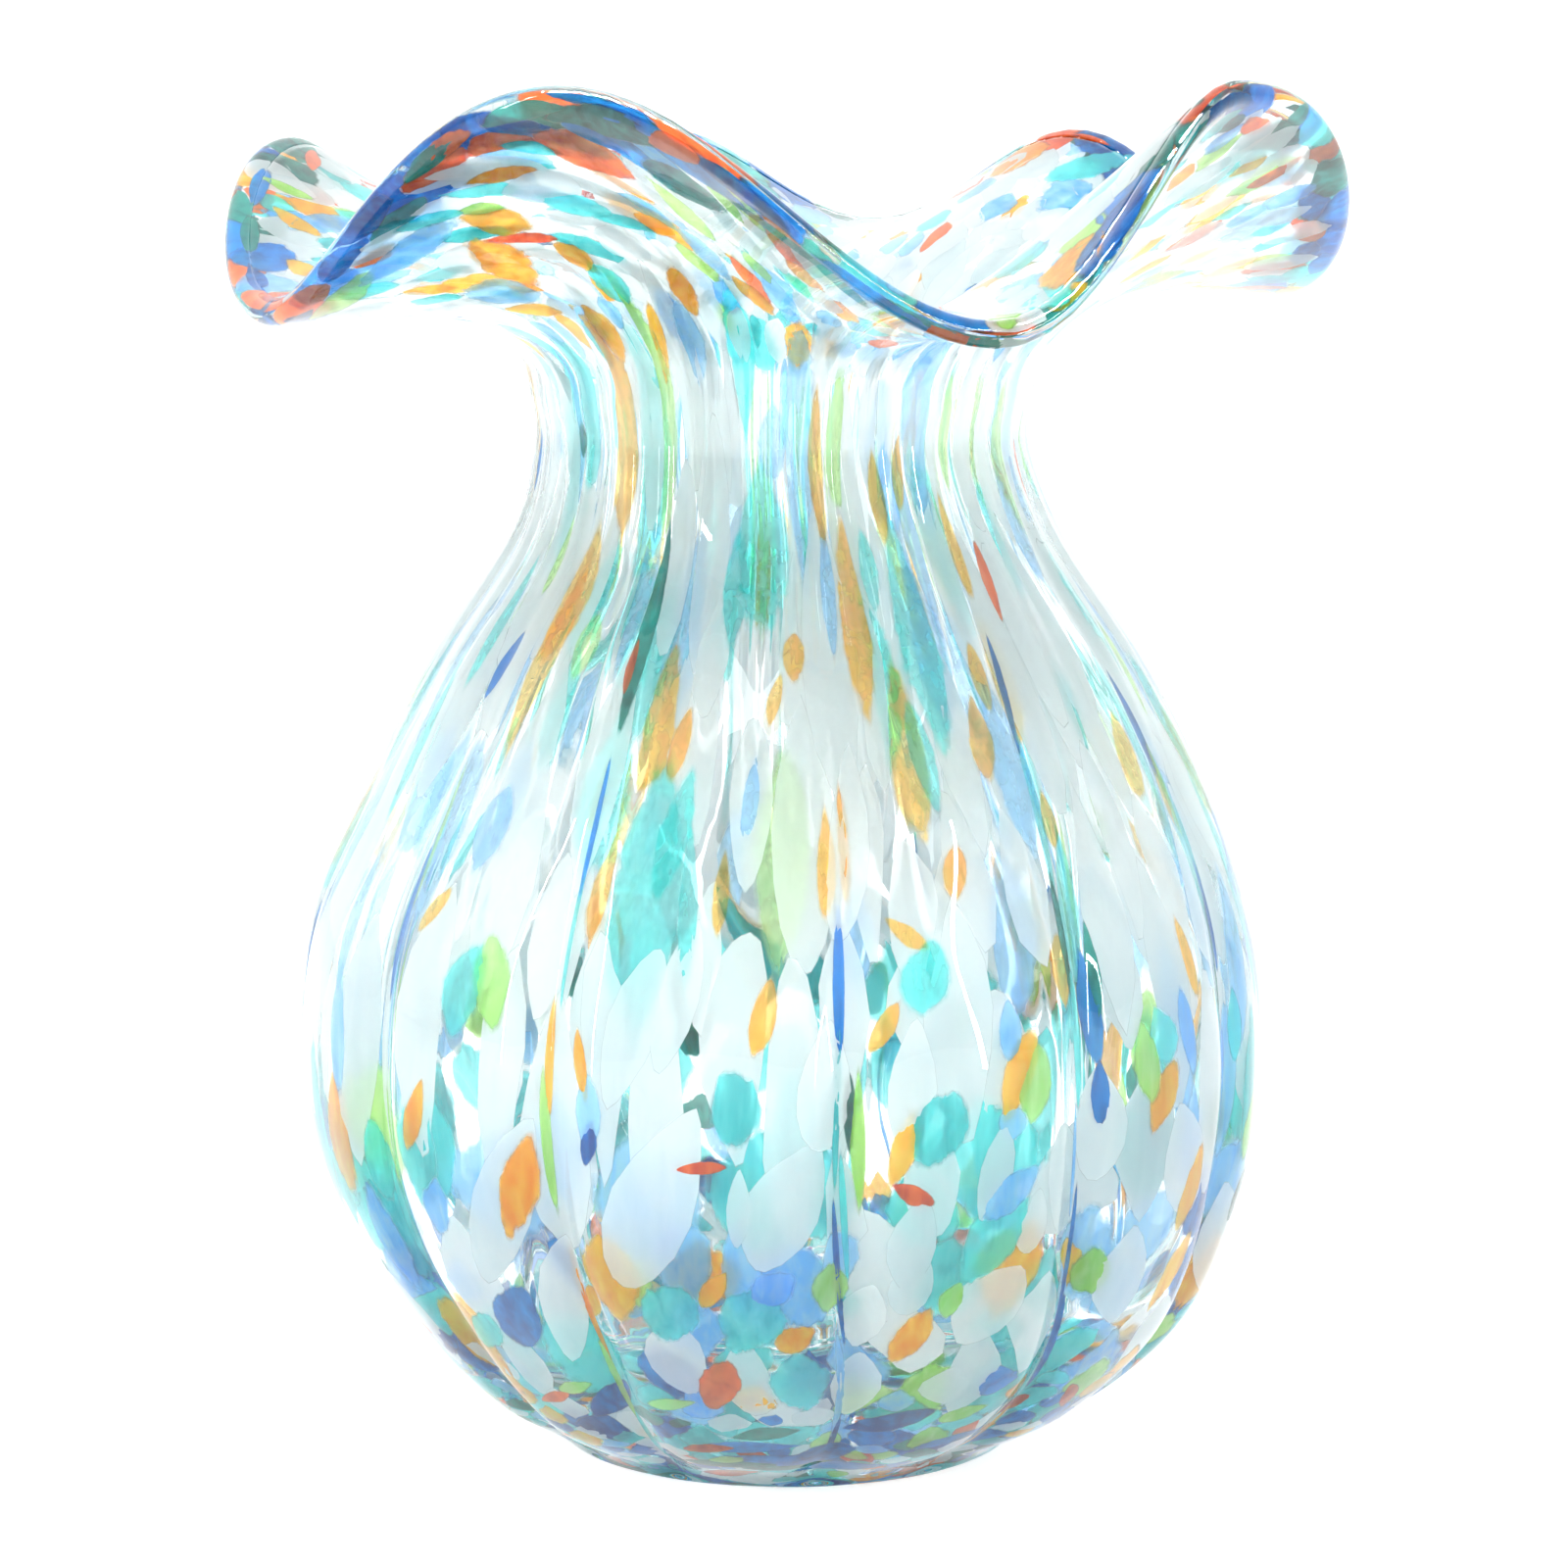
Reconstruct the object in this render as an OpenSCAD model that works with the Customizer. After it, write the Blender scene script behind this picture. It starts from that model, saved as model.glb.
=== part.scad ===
// Hand blown art glass vase: a ribbed, pear-shaped body with a slim neck and a ruffled rim.
// Coarse chips of coloured glass lie between a clear inner gather and a clear outer casing.
// The vase stands on its ground base at z = 0, its axis is Z, and -Y is its front.

/* [Body] */
// Radius of the flat ground base
foot_r = 39.5; // [36:0.5:41]
// Outer radius of the belly between two creases
belly_r = 83.5; // [80:0.5:90]
// Outer radius at the narrowest part of the neck
neck_r = 41.8; // [38:0.1:45]
// Height of the widest part of the belly
belly_z = 66; // [60:1:70]
// Height of the narrowest part of the neck
neck_z = 173; // [170:1:178]

/* [Ribs] */
// Depth of the creases between the lobes
crease_depth = 3.4; // [0.5:0.1:3.6]
// Half-width of a crease
crease_w = 4.6; // [3:0.1:8]
// Height at which the creases have faded out
crease_top = 152; // [120:1:165]

/* [Wall] */
// Thickness of the clear outer casing
casing_t = 2.2; // [1.8:0.1:3]
// Thickness of the layer that holds the coloured chips
colour_t = 1.6; // [1.5:0.1:2]
// Thickness of the clear inner gather in the wall
inner_t = 1.6; // [1.2:0.1:3]
// Height of the inside floor above the table
floor_z = 22; // [12:1:26]
// Share of the wall's thickness that is drawn away by the lip
lip_thinning = 0.2; // [0:0.01:0.25]

/* [Ruffled rim] */
// Height added to every crest of the ruffle
crest_lift = 0; // [-6:1:6]
// Radius added to the whole ruffle
ruffle_grow = 0; // [-4:1:4]

/* [Colour chips] */
// Thickness of one chip
chip_t = 0.6; // [0.4:0.1:0.7]
// Seed of the scatter
chip_seed = 7; // [1:1:99]

/* [Hidden] */

// Layer depths, measured inwards from the outside of the wall
gather_d = casing_t + colour_t;
wall_t = gather_d + inner_t;
lip_t = wall_t * (1 - lip_thinning);
chip_d = casing_t + (colour_t - chip_t) / 2 + 0.1;

// How much of a crease each face of the wall repeats
outside_share = 1;
middle_share = 0.6;
inside_share = 0.4;

// The outside profile, [radius, height, sideways drift of the centre], from the base to the
// top of the neck; hand work leaves the body a millimetre or two off its axis
profile = [
    [foot_r, 0, 0], [foot_r + 4, 3, 0], [belly_r - 28, 10, 1], [belly_r - 14, 25, 2],
    [belly_r - 4, 45, 0], [belly_r, belly_z, -1], [belly_r - 2, belly_z + 25, -1],
    [belly_r - 12, belly_z + 50, 0], [neck_r + 18, neck_z - 35, 0],
    [neck_r + 5, neck_z - 15, 0], [neck_r, neck_z, -1], [neck_r + 1, neck_z + 10, -1]];
last = len(profile) - 1;

// The middle of the lip: its usual radius, and the heights of its dips and crests
lip_r = 93;
dip_z = 198;
low_crest_z = 222;
high_crest_z = 234;
// The ruffle: [angle from the front, radius, height, slope] of the middle of the lip,
// in turn a trough and a crest
ruffle = [
    [-65, lip_r, dip_z, -5], [-20, lip_r + 7, high_crest_z, 40],
    [20, lip_r + 3, dip_z, 0], [50, lip_r, high_crest_z, 40],
    [115, lip_r, dip_z, -5], [145, lip_r, low_crest_z, 30],
    [170, lip_r, dip_z + 7, 5], [195, lip_r - 3, low_crest_z, 30],
    [215, lip_r, dip_z, -5], [250, lip_r, low_crest_z, 35]];

// The flare leaves the neck upwards and reaches the lip along its slope
neck_pull = 14;
lip_pull = 22;

// Angles of the creases from the front, which hand work leaves a little uneven
creases = [-84, -54, -27, 7, 37, 66, 96, 126, 156, 187, 217, 247];
lobes = len(creases);
// Where the mesh has columns between two creases
column_steps = [0, 0.13, 0.38, 0.62, 0.87];
columns = lobes * len(column_steps);

// Places up the wall: 0 is the edge of the base, 1 the top of the neck and 2 the lip
body_rows = [for (i = [0 : 21]) i / 21];
flare_rows = [for (i = [1 : 9]) 1 + pow(i / 9, 1.4)];
bead_start = 1.92;
gather_top = 1.91;
lip_turns = [45, 90, 135];
floor_rows = [0.9, 0.75, 0.5];
// The wall becomes the inside floor here
floor_join = 0.3;

function ease(x) = (1 - cos(180 * x)) / 2;
function clamp01(x) = min(1, max(0, x));

// Catmull-Rom curve through a list of points, t from 0 to the last index
function ghost(a, b) = 2 * a - b;
function spline(p, t) =
    let (n = len(p) - 1, i = min(n - 1, max(0, floor(t))), f = t - i,
        p1 = p[i], p2 = p[i + 1],
        p0 = i == 0 ? ghost(p1, p2) : p[i - 1],
        p3 = i == n - 1 ? ghost(p2, p1) : p[i + 2])
    0.5 * (2 * p1 + (p2 - p0) * f + (2 * p0 - 5 * p1 + 4 * p2 - p3) * f * f
        + (3 * p1 - p0 - 3 * p2 + p3) * f * f * f);

function bezier(a, b, c, d, t) =
    pow(1 - t, 3) * a + 3 * t * pow(1 - t, 2) * b + 3 * t * t * (1 - t) * c + t * t * t * d;

// An angle brought into the turn that starts at the first ruffle point
function in_turn(phi, start) = phi - 360 * floor((phi - start) / 360);
function ruffle_point(i) =
    let (r = ruffle[i % len(ruffle)], crest = i % 2 == 1 ? crest_lift : 0)
    [r[0] + 360 * floor(i / len(ruffle)), r[1] + ruffle_grow, r[2] + crest, r[3]];
function lip(phi) =
    let (a = in_turn(phi, ruffle[0][0]),
        k = max([for (i = [0 : len(ruffle) - 1]) if (ruffle[i][0] <= a) i]),
        p = ruffle_point(k), q = ruffle_point(k + 1),
        w = ease((a - p[0]) / (q[0] - p[0])))
    (1 - w) * p + w * q;

// The outside of the wall, [radius, height, drift], without its creases
function flare(phi, t) =
    let (m = lip(phi), slope = m[3], along = [cos(slope), sin(slope), 0],
        below = [sin(slope), -cos(slope), 0],
        start = profile[last], end = [m[1], m[2], 0] + below * lip_t / 2)
    bezier(start, start + [0, neck_pull, 0], end - along * lip_pull, end, t);
function outside(phi, u) = u <= 1 ? spline(profile, u * last) : flare(phi, u - 1);

// Direction up the wall, and the way out of it
tiny = 0.001;
function up_wall(phi, u) =
    let (a = outside(phi, max(0, u - tiny)), b = outside(phi, min(2, u + tiny)),
        d = [b[0] - a[0], b[1] - a[1]])
    d / norm(d);
function outward(phi, u) = let (d = up_wall(phi, u)) [d[1], -d[0]];

// Angle from a place to its nearest crease
function off_crease(phi) =
    min([for (c = creases) abs(phi - c - 360 * round((phi - c) / 360))]);
function crease(phi, r, z) =
    let (away = r * off_crease(phi) * PI / 180,
        fade = clamp01((crease_top - z) / 110), low = clamp01(z / 6))
    crease_depth * low * fade * fade * (3 - 2 * fade) * exp(-pow(away / crease_w, 2));

function spot(phi, r, z, drift) = [r * sin(phi) + drift, -r * cos(phi), z];
// The wall grows thinner from the neck to the lip
function thin(u) = 1 - lip_thinning * max(0, u - 1);
// A point of the wall at a depth below its outside
function wall_spot(phi, u, depth, share) =
    let (p = outside(phi, u), n = outward(phi, u), d = depth * thin(u),
        cut = share * crease(phi, p[0], p[1]))
    spot(phi, p[0] - cut - n[0] * d, max(p[1] - n[1] * d, d), p[2]);

// The angle of each column of the shells
function column(j) =
    let (k = floor(j / len(column_steps)), f = column_steps[j % len(column_steps)],
        a = creases[k], b = k + 1 < lobes ? creases[k + 1] : creases[0] + 360)
    a + f * (b - a);
angles = [for (j = [0 : columns - 1]) column(j)];

function wall_ring(u, depth, share) = [for (a = angles) wall_spot(a, u, depth, share)];
function wall_rings(us, depth, share) = [for (u = us) wall_ring(u, depth, share)];
function reversed(list) = [for (i = [len(list) - 1 : -1 : 0]) list[i]];
function below(list, top) = [for (u = list) if (u < top - tiny) u];

// The round edge of the lip: a half circle as wide as the wall
function lip_ring(turn) = [for (a = angles)
    let (p = outside(a, 2), d = up_wall(a, 2), n = outward(a, 2), half = lip_t / 2,
        q = [p[0], p[1]] + d * half * sin(turn) - n * half * (1 - cos(turn)))
    spot(a, q[0], q[1], 0)];

// The inside floor: flat in the middle, turned up into the wall at its edge
function floor_ring(share) = [for (a = angles)
    let (e = wall_spot(a, floor_join, wall_t, inside_share))
    [e[0] * share, e[1] * share, floor_z + (e[2] - floor_z) * pow(share, 7)]];

// A closed solid from rings of points, with a point at each end
module shell(first, rings, final) {
    n = columns;
    top = len(rings) * n;
    points = [for (ring = rings) each ring, first, final];
    faces = [
        for (j = [0 : n - 1]) [top, j, (j + 1) % n],
        for (i = [0 : len(rings) - 2], j = [0 : n - 1])
            each let (a = i * n + j, b = i * n + (j + 1) % n)
            [[a, a + n, b], [b, a + n, b + n]],
        for (j = [0 : n - 1]) [top + 1, top - n + (j + 1) % n, top - n + j]];
    polyhedron(points, faces);
}

module outer_casing() {
    outside_rows = concat(body_rows, flare_rows);
    inside_rows = reversed(concat(body_rows, below(flare_rows, bead_start), [bead_start]));
    color([0.82, 0.93, 0.94, 0.35])
    shell([0, 0, 0],
        concat(
            wall_rings(outside_rows, 0, outside_share),
            [for (turn = lip_turns) lip_ring(turn)],
            [wall_ring(2, wall_t, inside_share)],
            [wall_ring(bead_start, wall_t, inside_share)],
            wall_rings(inside_rows, casing_t, middle_share)),
        [0, 0, casing_t]);
}

module inner_gather() {
    outside_rows = concat(body_rows, below(flare_rows, gather_top), [gather_top]);
    inside_rows = reversed([for (u = outside_rows) if (u > floor_join + tiny) u]);
    color([0.86, 0.95, 0.96, 0.35])
    shell([0, 0, gather_d],
        concat(
            wall_rings(outside_rows, gather_d, middle_share),
            wall_rings(inside_rows, wall_t, inside_share),
            [floor_ring(1)],
            [for (share = floor_rows) floor_ring(share)]),
        [0, 0, floor_z]);
}

// Belts of chips: [place up the wall, chips in a lobe, length, width, colours].
// They are small at the base, large on the belly, drawn out thin in the neck.
white = 0;
turquoise = 1;
sky = 2;
cobalt = 3;
amber = 4;
coral = 5;
lime = 6;
bottle = 7;
base_mix = [cobalt, turquoise, white, coral, bottle, turquoise, cobalt, sky, white];
bowl_mix = [turquoise, white, sky, turquoise, amber, white, bottle, cobalt];
belly_mix = [white, turquoise, white, sky, white, lime, white, amber];
neck_mix = [sky, white, turquoise, amber, white, lime, sky, coral];
rim_mix = [amber, sky, white, coral, turquoise, cobalt, bottle, white, turquoise];
belts = [
    [0.12, 2, 11, 6.5, base_mix], [0.2, 3, 11, 6.5, base_mix],
    [0.28, 3, 13, 7.5, bowl_mix], [0.36, 3, 15, 8.5, bowl_mix],
    [0.46, 3, 22, 9, belly_mix], [0.57, 2, 24, 10, belly_mix],
    [0.68, 2, 25, 8.5, belly_mix], [0.79, 2, 24, 6, neck_mix],
    [0.92, 2, 21, 3.6, neck_mix], [1.16, 2, 11, 4, neck_mix],
    [1.44, 2, 16, 6.5, rim_mix], [1.68, 2, 14, 6, rim_mix]];

// Random numbers from 0 to 1 for one chip of one belt
function luck(belt, chip) = rands(0, 1, 6, chip_seed + 1000 * belt + chip);

// One chip: [angle, place, half length, half width, lean], clear of the creases
function chip(b, i) =
    let (belt = belts[b], n = belt[1], k = floor(i / n), luck = luck(b, i),
        a = creases[k], c = k + 1 < lobes ? creases[k + 1] : creases[0] + 360,
        share = 0.16 + 0.68 * (i % n + 0.5 + 0.16 * (luck[0] - 0.5)) / n)
    [a + share * (c - a), belt[0] + 0.012 * (luck[1] - 0.5),
        belt[2] * (0.36 + 0.14 * luck[2]), belt[3] * (0.34 + 0.14 * luck[3]),
        14 * (luck[4] - 0.5)];
function chip_colour(b, i) =
    let (mix = belts[b][4]) mix[floor(luck(b, i)[5] * len(mix)) % len(mix)];
function chips_of(colour) = [for (b = [0 : len(belts) - 1])
    for (i = [0 : lobes * belts[b][1] - 1]) if (chip_colour(b, i) == colour) chip(b, i)];

// A point of a chip, x across it and y along it, from its middle
function chip_spot(c, x, y, depth) =
    let (r = outside(c[0], c[1])[0],
        run = norm(outside(c[0], c[1] + tiny) - outside(c[0], c[1] - tiny)) / (2 * tiny),
        across = x * cos(c[4]) - y * sin(c[4]), along = x * sin(c[4]) + y * cos(c[4]))
    wall_spot(c[0] + across / r * 180 / PI, c[1] + along / run, depth, middle_share);
stations = [-0.6, 0, 0.6];
function chip_points(c) =
    let (mid = chip_d + chip_t / 2)
    [chip_spot(c, 0, -c[2], mid),
        for (s = stations)
            let (w = c[3] * pow(1 - s * s, 0.7), y = s * c[2])
            each [chip_spot(c, -w, y, mid), chip_spot(c, 0, y, chip_d),
                chip_spot(c, w, y, mid), chip_spot(c, 0, y, chip_d + chip_t)],
        chip_spot(c, 0, c[2], mid)];
sides = 4;
chip_size = 2 + sides * len(stations);
chip_faces = [
    for (j = [0 : sides - 1]) [0, 1 + j, 1 + (j + 1) % sides],
    for (s = [0 : len(stations) - 2], j = [0 : sides - 1])
        each let (a = 1 + s * sides + j, b = 1 + s * sides + (j + 1) % sides)
        [[a, a + sides, b], [b, a + sides, b + sides]],
    for (j = [0 : sides - 1])
        let (a = chip_size - 1 - sides) [a + j, chip_size - 1, a + (j + 1) % sides]];

// Every chip of one colour, as separate closed solids
module chips(colour) {
    list = chips_of(colour);
    points = [for (c = list) each chip_points(c)];
    faces = [for (k = [0 : len(list) - 1], f = chip_faces)
        [for (v = f) v + k * chip_size]];
    polyhedron(points, faces);
}

module opal_white_chips() { color([0.93, 0.96, 0.95]) chips(white); }
module turquoise_chips() { color([0.2, 0.7, 0.68]) chips(turquoise); }
module sky_blue_chips() { color([0.55, 0.72, 0.92]) chips(sky); }
module cobalt_blue_chips() { color([0.08, 0.25, 0.68]) chips(cobalt); }
module amber_chips() { color([0.9, 0.6, 0.2]) chips(amber); }
module coral_red_chips() { color([0.8, 0.26, 0.16]) chips(coral); }
module lime_green_chips() { color([0.68, 0.84, 0.42]) chips(lime); }
module bottle_green_chips() { color([0.08, 0.4, 0.3]) chips(bottle); }

outer_casing();
inner_gather();
opal_white_chips();
turquoise_chips();
sky_blue_chips();
cobalt_blue_chips();
amber_chips();
coral_red_chips();
lime_green_chips();
bottle_green_chips();
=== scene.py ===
import math

import bpy
import numpy as np
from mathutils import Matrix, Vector


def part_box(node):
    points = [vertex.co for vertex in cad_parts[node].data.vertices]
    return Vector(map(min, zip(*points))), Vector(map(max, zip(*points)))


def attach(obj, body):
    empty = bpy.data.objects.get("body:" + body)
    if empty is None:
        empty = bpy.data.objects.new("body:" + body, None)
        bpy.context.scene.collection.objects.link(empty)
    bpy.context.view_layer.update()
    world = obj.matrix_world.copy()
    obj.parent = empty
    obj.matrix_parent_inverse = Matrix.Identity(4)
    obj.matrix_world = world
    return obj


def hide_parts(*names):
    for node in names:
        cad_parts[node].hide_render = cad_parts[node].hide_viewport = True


# Hand blown art glass vase: clear casing and clear inner gather with coloured chips between them.
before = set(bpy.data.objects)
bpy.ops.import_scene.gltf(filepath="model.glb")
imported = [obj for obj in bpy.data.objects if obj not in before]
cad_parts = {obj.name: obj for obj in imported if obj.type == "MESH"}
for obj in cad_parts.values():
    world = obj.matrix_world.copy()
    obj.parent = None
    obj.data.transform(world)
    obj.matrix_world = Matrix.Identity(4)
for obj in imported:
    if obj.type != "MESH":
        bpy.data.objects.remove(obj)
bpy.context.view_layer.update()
scene = bpy.context.scene

# ---------------------------------------------------------------- design sizes, in millimetres
FOOT_R = 39.5
BELLY_R = 83.5
BELLY_Z = 66.0
NECK_R = 41.8
NECK_Z = 173.0
# The outside profile: radius, height and sideways drift, from the base to the top of the neck
PROFILE = np.array([
    (FOOT_R, 0, 0), (FOOT_R + 4, 3, 0), (BELLY_R - 28, 10, 1), (BELLY_R - 14, 25, 2),
    (BELLY_R - 4, 45, 0), (BELLY_R, BELLY_Z, -1), (BELLY_R - 2, BELLY_Z + 25, -1),
    (BELLY_R - 12, BELLY_Z + 50, 0), (NECK_R + 18, NECK_Z - 35, 0),
    (NECK_R + 5, NECK_Z - 15, 0), (NECK_R, NECK_Z, -1), (NECK_R + 1, NECK_Z + 10, -1)], float)
# The middle of the lip: its usual radius, and the heights of its dips and crests
LIP_R = 93
DIP_Z = 198
LOW_CREST_Z = 222
HIGH_CREST_Z = 234
# The ruffle: angle from the front, radius, height and slope of the middle of the lip
RUFFLE = np.array([
    (-65, LIP_R, DIP_Z, -5), (-20, LIP_R + 7, HIGH_CREST_Z, 40),
    (20, LIP_R + 3, DIP_Z, 0), (50, LIP_R, HIGH_CREST_Z, 40),
    (115, LIP_R, DIP_Z, -5), (145, LIP_R, LOW_CREST_Z, 30),
    (170, LIP_R, DIP_Z + 7, 5), (195, LIP_R - 3, LOW_CREST_Z, 30),
    (215, LIP_R, DIP_Z, -5), (250, LIP_R, LOW_CREST_Z, 35)], float)
NECK_PULL = 14.0
LIP_PULL = 22.0

CREASES = np.array([-84, -54, -27, 7, 37, 66, 96, 126, 156, 187, 217, 247], float)
CREASE_DEPTH = 3.4
CREASE_W = 4.6
CREASE_TOP = 152.0
CREASE_FADE = 110.0
# The creases are at their full depth this far above the base
CREASE_RISE = 6.0

CASING_T = 2.2
COLOUR_T = 1.6
INNER_T = 1.6
GATHER_D = CASING_T + COLOUR_T
WALL_T = GATHER_D + INNER_T
LIP_THINNING = 0.2
LIP_T = WALL_T * (1 - LIP_THINNING)
FLOOR_Z = 22.0
FLOOR_JOIN = 0.3
BEAD_START = 1.975

# How much of a crease each face of the wall repeats
OUTSIDE_SHARE = 1.0
MIDDLE_SHARE = 0.6
INSIDE_SHARE = 0.4

COLUMNS_PER_LOBE = 20
# How strongly the mesh columns gather at the creases
COLUMN_PULL = 0.72
TINY = 1e-3

# Unevenness of hand work: the number of sines, the steepest of them and the size of one wave
WAVES = 9
WAVE_TILT = 1.2
WAVE_SIZE = 34.0
# It fades out towards the base, in mm, and towards the lip
EVEN_BASE = 12.0
EVEN_LIP = 0.15
# A random phase is drawn from nought to about a full turn
ANY_PHASE = 6.3

# Flutes of the neck: where they rise and fall, in mm, and the height, number and phase of each
FLUTES_FROM = 95
FLUTES_RISE = 50
FLUTES_TO = 214
FLUTES_FALL = 26
FLUTES = [(0.45, 12, 0.5), (0.3, 31, 1.0), (0.2, 53, 2.0)]


# ---------------------------------------------------------------- the shape of the wall
def spline(points, t):
    """Catmull-Rom curve through points, t from 0 to the last index."""
    n = len(points) - 1
    i = np.clip(np.floor(t).astype(int), 0, n - 1)
    f = (t - i)[..., None]
    p1, p2 = points[i], points[i + 1]
    p0 = np.where((i == 0)[..., None], 2 * p1 - p2, points[np.maximum(i - 1, 0)])
    p3 = np.where((i == n - 1)[..., None], 2 * p2 - p1, points[np.minimum(i + 2, n)])
    return 0.5 * (2 * p1 + (p2 - p0) * f + (2 * p0 - 5 * p1 + 4 * p2 - p3) * f ** 2
                  + (3 * p1 - p0 - 3 * p2 + p3) * f ** 3)


def lip(phi):
    """Radius, height and slope of the middle of the lip at each angle."""
    start = RUFFLE[0, 0]
    turn = np.mod(phi - start, 360) + start
    angles = np.append(RUFFLE[:, 0], start + 360)
    values = np.vstack([RUFFLE[:, 1:], RUFFLE[:1, 1:]])
    k = np.clip(np.searchsorted(angles, turn, side="right") - 1, 0, len(RUFFLE) - 1)
    w = (turn - angles[k]) / (angles[k + 1] - angles[k])
    w = ((1 - np.cos(np.pi * w)) / 2)[..., None]
    return values[k] * (1 - w) + values[k + 1] * w


def flare(phi, t):
    """The outside from the neck (t = 0) to the lip (t = 1), radius and height."""
    m = lip(phi)
    slope = np.radians(m[..., 2])
    none = np.zeros_like(slope)
    along = np.stack([np.cos(slope), np.sin(slope), none], -1)
    below = np.stack([np.sin(slope), -np.cos(slope), none], -1)
    start = np.broadcast_to(PROFILE[-1], along.shape)
    end = np.stack([m[..., 0], m[..., 1], none], -1) + below * LIP_T / 2
    c1 = start + np.array([0, NECK_PULL, 0])
    c2 = end - along * LIP_PULL
    t = t[..., None]
    s = 1 - t
    return s ** 3 * start + 3 * s * s * t * c1 + 3 * s * t * t * c2 + t ** 3 * end


def outside(phi, u):
    """The smooth outside of the wall: u = 0 at the base, 1 at the neck, 2 at the lip."""
    low = spline(PROFILE, np.clip(u, 0, 1) * (len(PROFILE) - 1))
    high = flare(phi, np.clip(u - 1, 0, 1))
    return np.where((u <= 1)[..., None], low, high)


def up_wall(phi, u):
    """Direction up the wall, as steps of radius and height."""
    d = outside(phi, np.minimum(2, u + TINY)) - outside(phi, np.maximum(0, u - TINY))
    d = d[..., :2]
    return d / np.linalg.norm(d, axis=-1, keepdims=True)


def smoothstep(x):
    """Eases from 0 to 1 as x does."""
    x = np.clip(x, 0, 1)
    return x * x * (3 - 2 * x)


def crease(phi, r, z):
    """How deep the nearest crease is here."""
    away = np.mod(phi[..., None] - CREASES + 180, 360) - 180
    arc = r * np.radians(np.abs(away).min(-1))
    fade = smoothstep((CREASE_TOP - z) / CREASE_FADE) * np.clip(z / CREASE_RISE, 0, 1)
    return CREASE_DEPTH * fade * np.exp(-(arc / CREASE_W) ** 2)


def spot(phi, r, z, drift=0.0):
    """Points at an angle from the front (-Y), a radius and a height."""
    a = np.radians(phi)
    return np.stack([r * np.sin(a) + drift, -r * np.cos(a), z], -1)


def wall(phi, u, depth, share):
    """Points of the wall at a depth below its outside."""
    phi, u = np.broadcast_arrays(np.asarray(phi, float), np.asarray(u, float))
    p, d = outside(phi, u), up_wall(phi, u)
    depth = depth * (1 - LIP_THINNING * np.maximum(0, u - 1))
    r = p[..., 0] - share * crease(phi, p[..., 0], p[..., 1]) - d[..., 1] * depth
    z = np.maximum(p[..., 1] + d[..., 0] * depth, depth)
    return spot(phi, r, z, p[..., 2])


def columns():
    """Angles of the mesh columns, closer together at the creases."""
    s = np.arange(COLUMNS_PER_LOBE) / COLUMNS_PER_LOBE
    f = s - COLUMN_PULL * np.sin(2 * np.pi * s) / (2 * np.pi)
    after = np.append(CREASES[1:], CREASES[0] + 360)
    return (CREASES[:, None] + f * (after - CREASES)[:, None]).ravel()


ANGLES = columns()


def waves(phi, z, size, amount, seed):
    """Gentle hand-made unevenness: a few sines round the vase and up it."""
    pick = np.random.default_rng(seed)
    total = np.zeros(np.broadcast(phi, z).shape)
    for _ in range(WAVES):
        around = pick.integers(2, max(3, int(2 * np.pi * BELLY_R / size)))
        up = pick.uniform(-WAVE_TILT, WAVE_TILT) * 2 * np.pi / size
        total += np.sin(np.radians(phi) * around + up * z + pick.uniform(0, ANY_PHASE))
    return amount * total / math.sqrt(WAVES)


def flutes(phi, z):
    """Fine upright flutes that the ribs leave in the neck as it is drawn out."""
    rise = smoothstep((z - FLUTES_FROM) / FLUTES_RISE)
    fall = smoothstep((FLUTES_TO - z) / FLUTES_FALL)
    a = np.radians(phi)
    return rise * fall * sum(size * np.cos(a * around + phase) for size, around, phase in FLUTES)


# ---------------------------------------------------------------- mesh helpers
casing_lo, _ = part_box("outer_casing")
MM = 0.001


def mesh_object(name, points, faces, materials, indices=None):
    """An object from points in mm; indices hold the material slot of each face."""
    mesh = bpy.data.meshes.new(name)
    mesh.from_pydata((np.asarray(points) * MM).tolist(), [], faces)
    for m in materials:
        mesh.materials.append(m)
    if indices is not None:
        mesh.polygons.foreach_set("material_index", np.asarray(indices, dtype=np.int32))
    # The fused faces stay flat, which keeps the shading of the polished faces clean beside them
    smooth = [indices is None or indices[k] == 0 for k in range(len(mesh.polygons))]
    mesh.polygons.foreach_set("use_smooth", smooth)
    mesh.update()
    piece = bpy.data.objects.new(name, mesh)
    scene.collection.objects.link(piece)
    return piece


def shell_object(name, first, rings, final, band_slots, materials):
    """A closed solid from rings of points with a point at each end, and a slot for each band."""
    n = len(rings[0])
    points = np.vstack([np.vstack(rings), first, final])
    top = len(rings) * n
    faces, slots = [], []
    for j in range(n):
        faces.append((top, (j + 1) % n, j))
        slots.append(band_slots[0])
    for i in range(len(rings) - 1):
        for j in range(n):
            k = (j + 1) % n
            faces.append((i * n + j, i * n + k, (i + 1) * n + k, (i + 1) * n + j))
            slots.append(band_slots[i + 1])
    last = (len(rings) - 1) * n
    for j in range(n):
        faces.append((top + 1, last + j, last + (j + 1) % n))
        slots.append(band_slots[-1])
    return mesh_object(name, points, faces, materials, slots)


# ---------------------------------------------------------------- materials
NOISE_DETAIL = 2.0
NOISE_ROUGHNESS = 0.5
NOISE_DISTORTION = 0.4
# Striae of the clear glass and streaks of the chips: how fine they are, and their stretch
STRIAE_SCALE = 90.0
STRIAE_STRETCH = (1.0, 1.0, 0.12)
STRIAE_RELIEF = 0.06
STREAK_SCALE = 480.0
STREAK_STRETCH = (1.0, 1.0, 0.16)
GLASS_IOR = 1.5


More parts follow.
